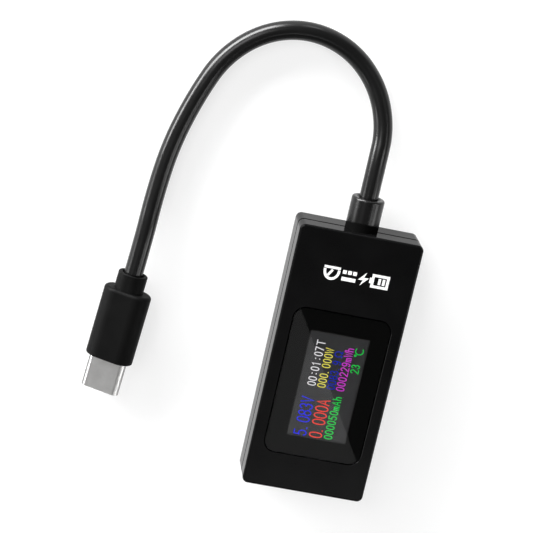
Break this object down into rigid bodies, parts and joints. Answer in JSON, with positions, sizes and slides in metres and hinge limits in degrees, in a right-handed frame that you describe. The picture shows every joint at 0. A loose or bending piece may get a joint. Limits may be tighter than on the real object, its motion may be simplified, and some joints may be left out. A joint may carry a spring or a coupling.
{
  "type": "usb power meter",
  "caption": "Inline USB-C power meter: flat rectangular case with a colour display under a flat lens, a socket at one end and a short captive cable with a plug at the other.",
  "frame": {"origin": "centre of the case's flat rear face, which rests on the table", "axes": "+X towards the side button, +Y towards the cable end, +Z out of the display"},
  "size_m": [0.0648, 0.0984, 0.0104],
  "materials": {
    "case_plastic": "satin-gloss moulded ABS",
    "screw_steel": "black-plated steel",
    "lens_clear": "clear hard-coated acrylic",
    "tape_black": "black adhesive film",
    "display_glass": "dark polariser over the lit pixels",
    "white_plastic": "white moulded plastic",
    "foam_black": "black foam",
    "flex_film": "amber polyimide film",
    "board_laminate": "green solder mask",
    "chip_resin": "black moulding resin",
    "bright_metal": "tinned metal",
    "ceramic_tan": "fired ceramic with tinned ends",
    "resistor_black": "black glaze with tinned ends",
    "nickel_shell": "satin nickel plate",
    "insulator_black": "black liquid crystal polymer",
    "contact_gold": "gold flash",
    "relief_rubber": "satin elastomer",
    "cable_jacket": "glossy elastomer jacket",
    "plug_rubber": "matt elastomer",
    "wire_red": "red wire insulation",
    "wire_blue": "blue wire insulation",
    "wire_green": "green wire insulation",
    "wire_black": "black wire insulation",
    "wire_white": "white wire insulation",
    "button_plastic": "satin-gloss moulded ABS"
  },
  "bodies": {
    "case": {"front_shell": "case_plastic", "rear_shell": "case_plastic", "case_screws": "screw_steel", "display_lens": "lens_clear", "lens_tape": "tape_black", "tft_glass": "display_glass", "tft_backlight": "white_plastic", "display_foam": "foam_black", "display_flex": "flex_film", "main_board": "board_laminate", "microcontroller": "chip_resin", "crystal": "bright_metal", "current_monitor": "chip_resin", "flash_memory": "chip_resin", "voltage_regulator": "chip_resin", "shunt_resistor": "bright_metal", "chip_capacitors": "ceramic_tan", "chip_resistors": "resistor_black", "socket_shell": "nickel_shell", "socket_tongue": "insulator_black", "socket_contacts": "contact_gold", "button_switch": "insulator_black", "strain_relief": "relief_rubber", "cable_inner_end": "cable_jacket", "wire_power": "wire_red", "wire_config": "wire_blue", "wire_data_positive": "wire_green", "wire_ground": "wire_black", "wire_data_negative": "wire_white", "cable": "cable_jacket", "plug_overmould": "plug_rubber", "plug_board": "board_laminate", "plug_shell": "nickel_shell", "plug_insulator": "insulator_black", "plug_contacts": "contact_gold"},
    "button": {"side_button": "button_plastic", "switch_plunger": "white_plastic"}
  },
  "joints": [
    {"name": "button_press", "type": "slide", "parent": "case", "child": "button", "axis": [-1, 0, 0], "range_m": [0, 0.00025], "stiffness_N_per_m": 4000}
  ]
}
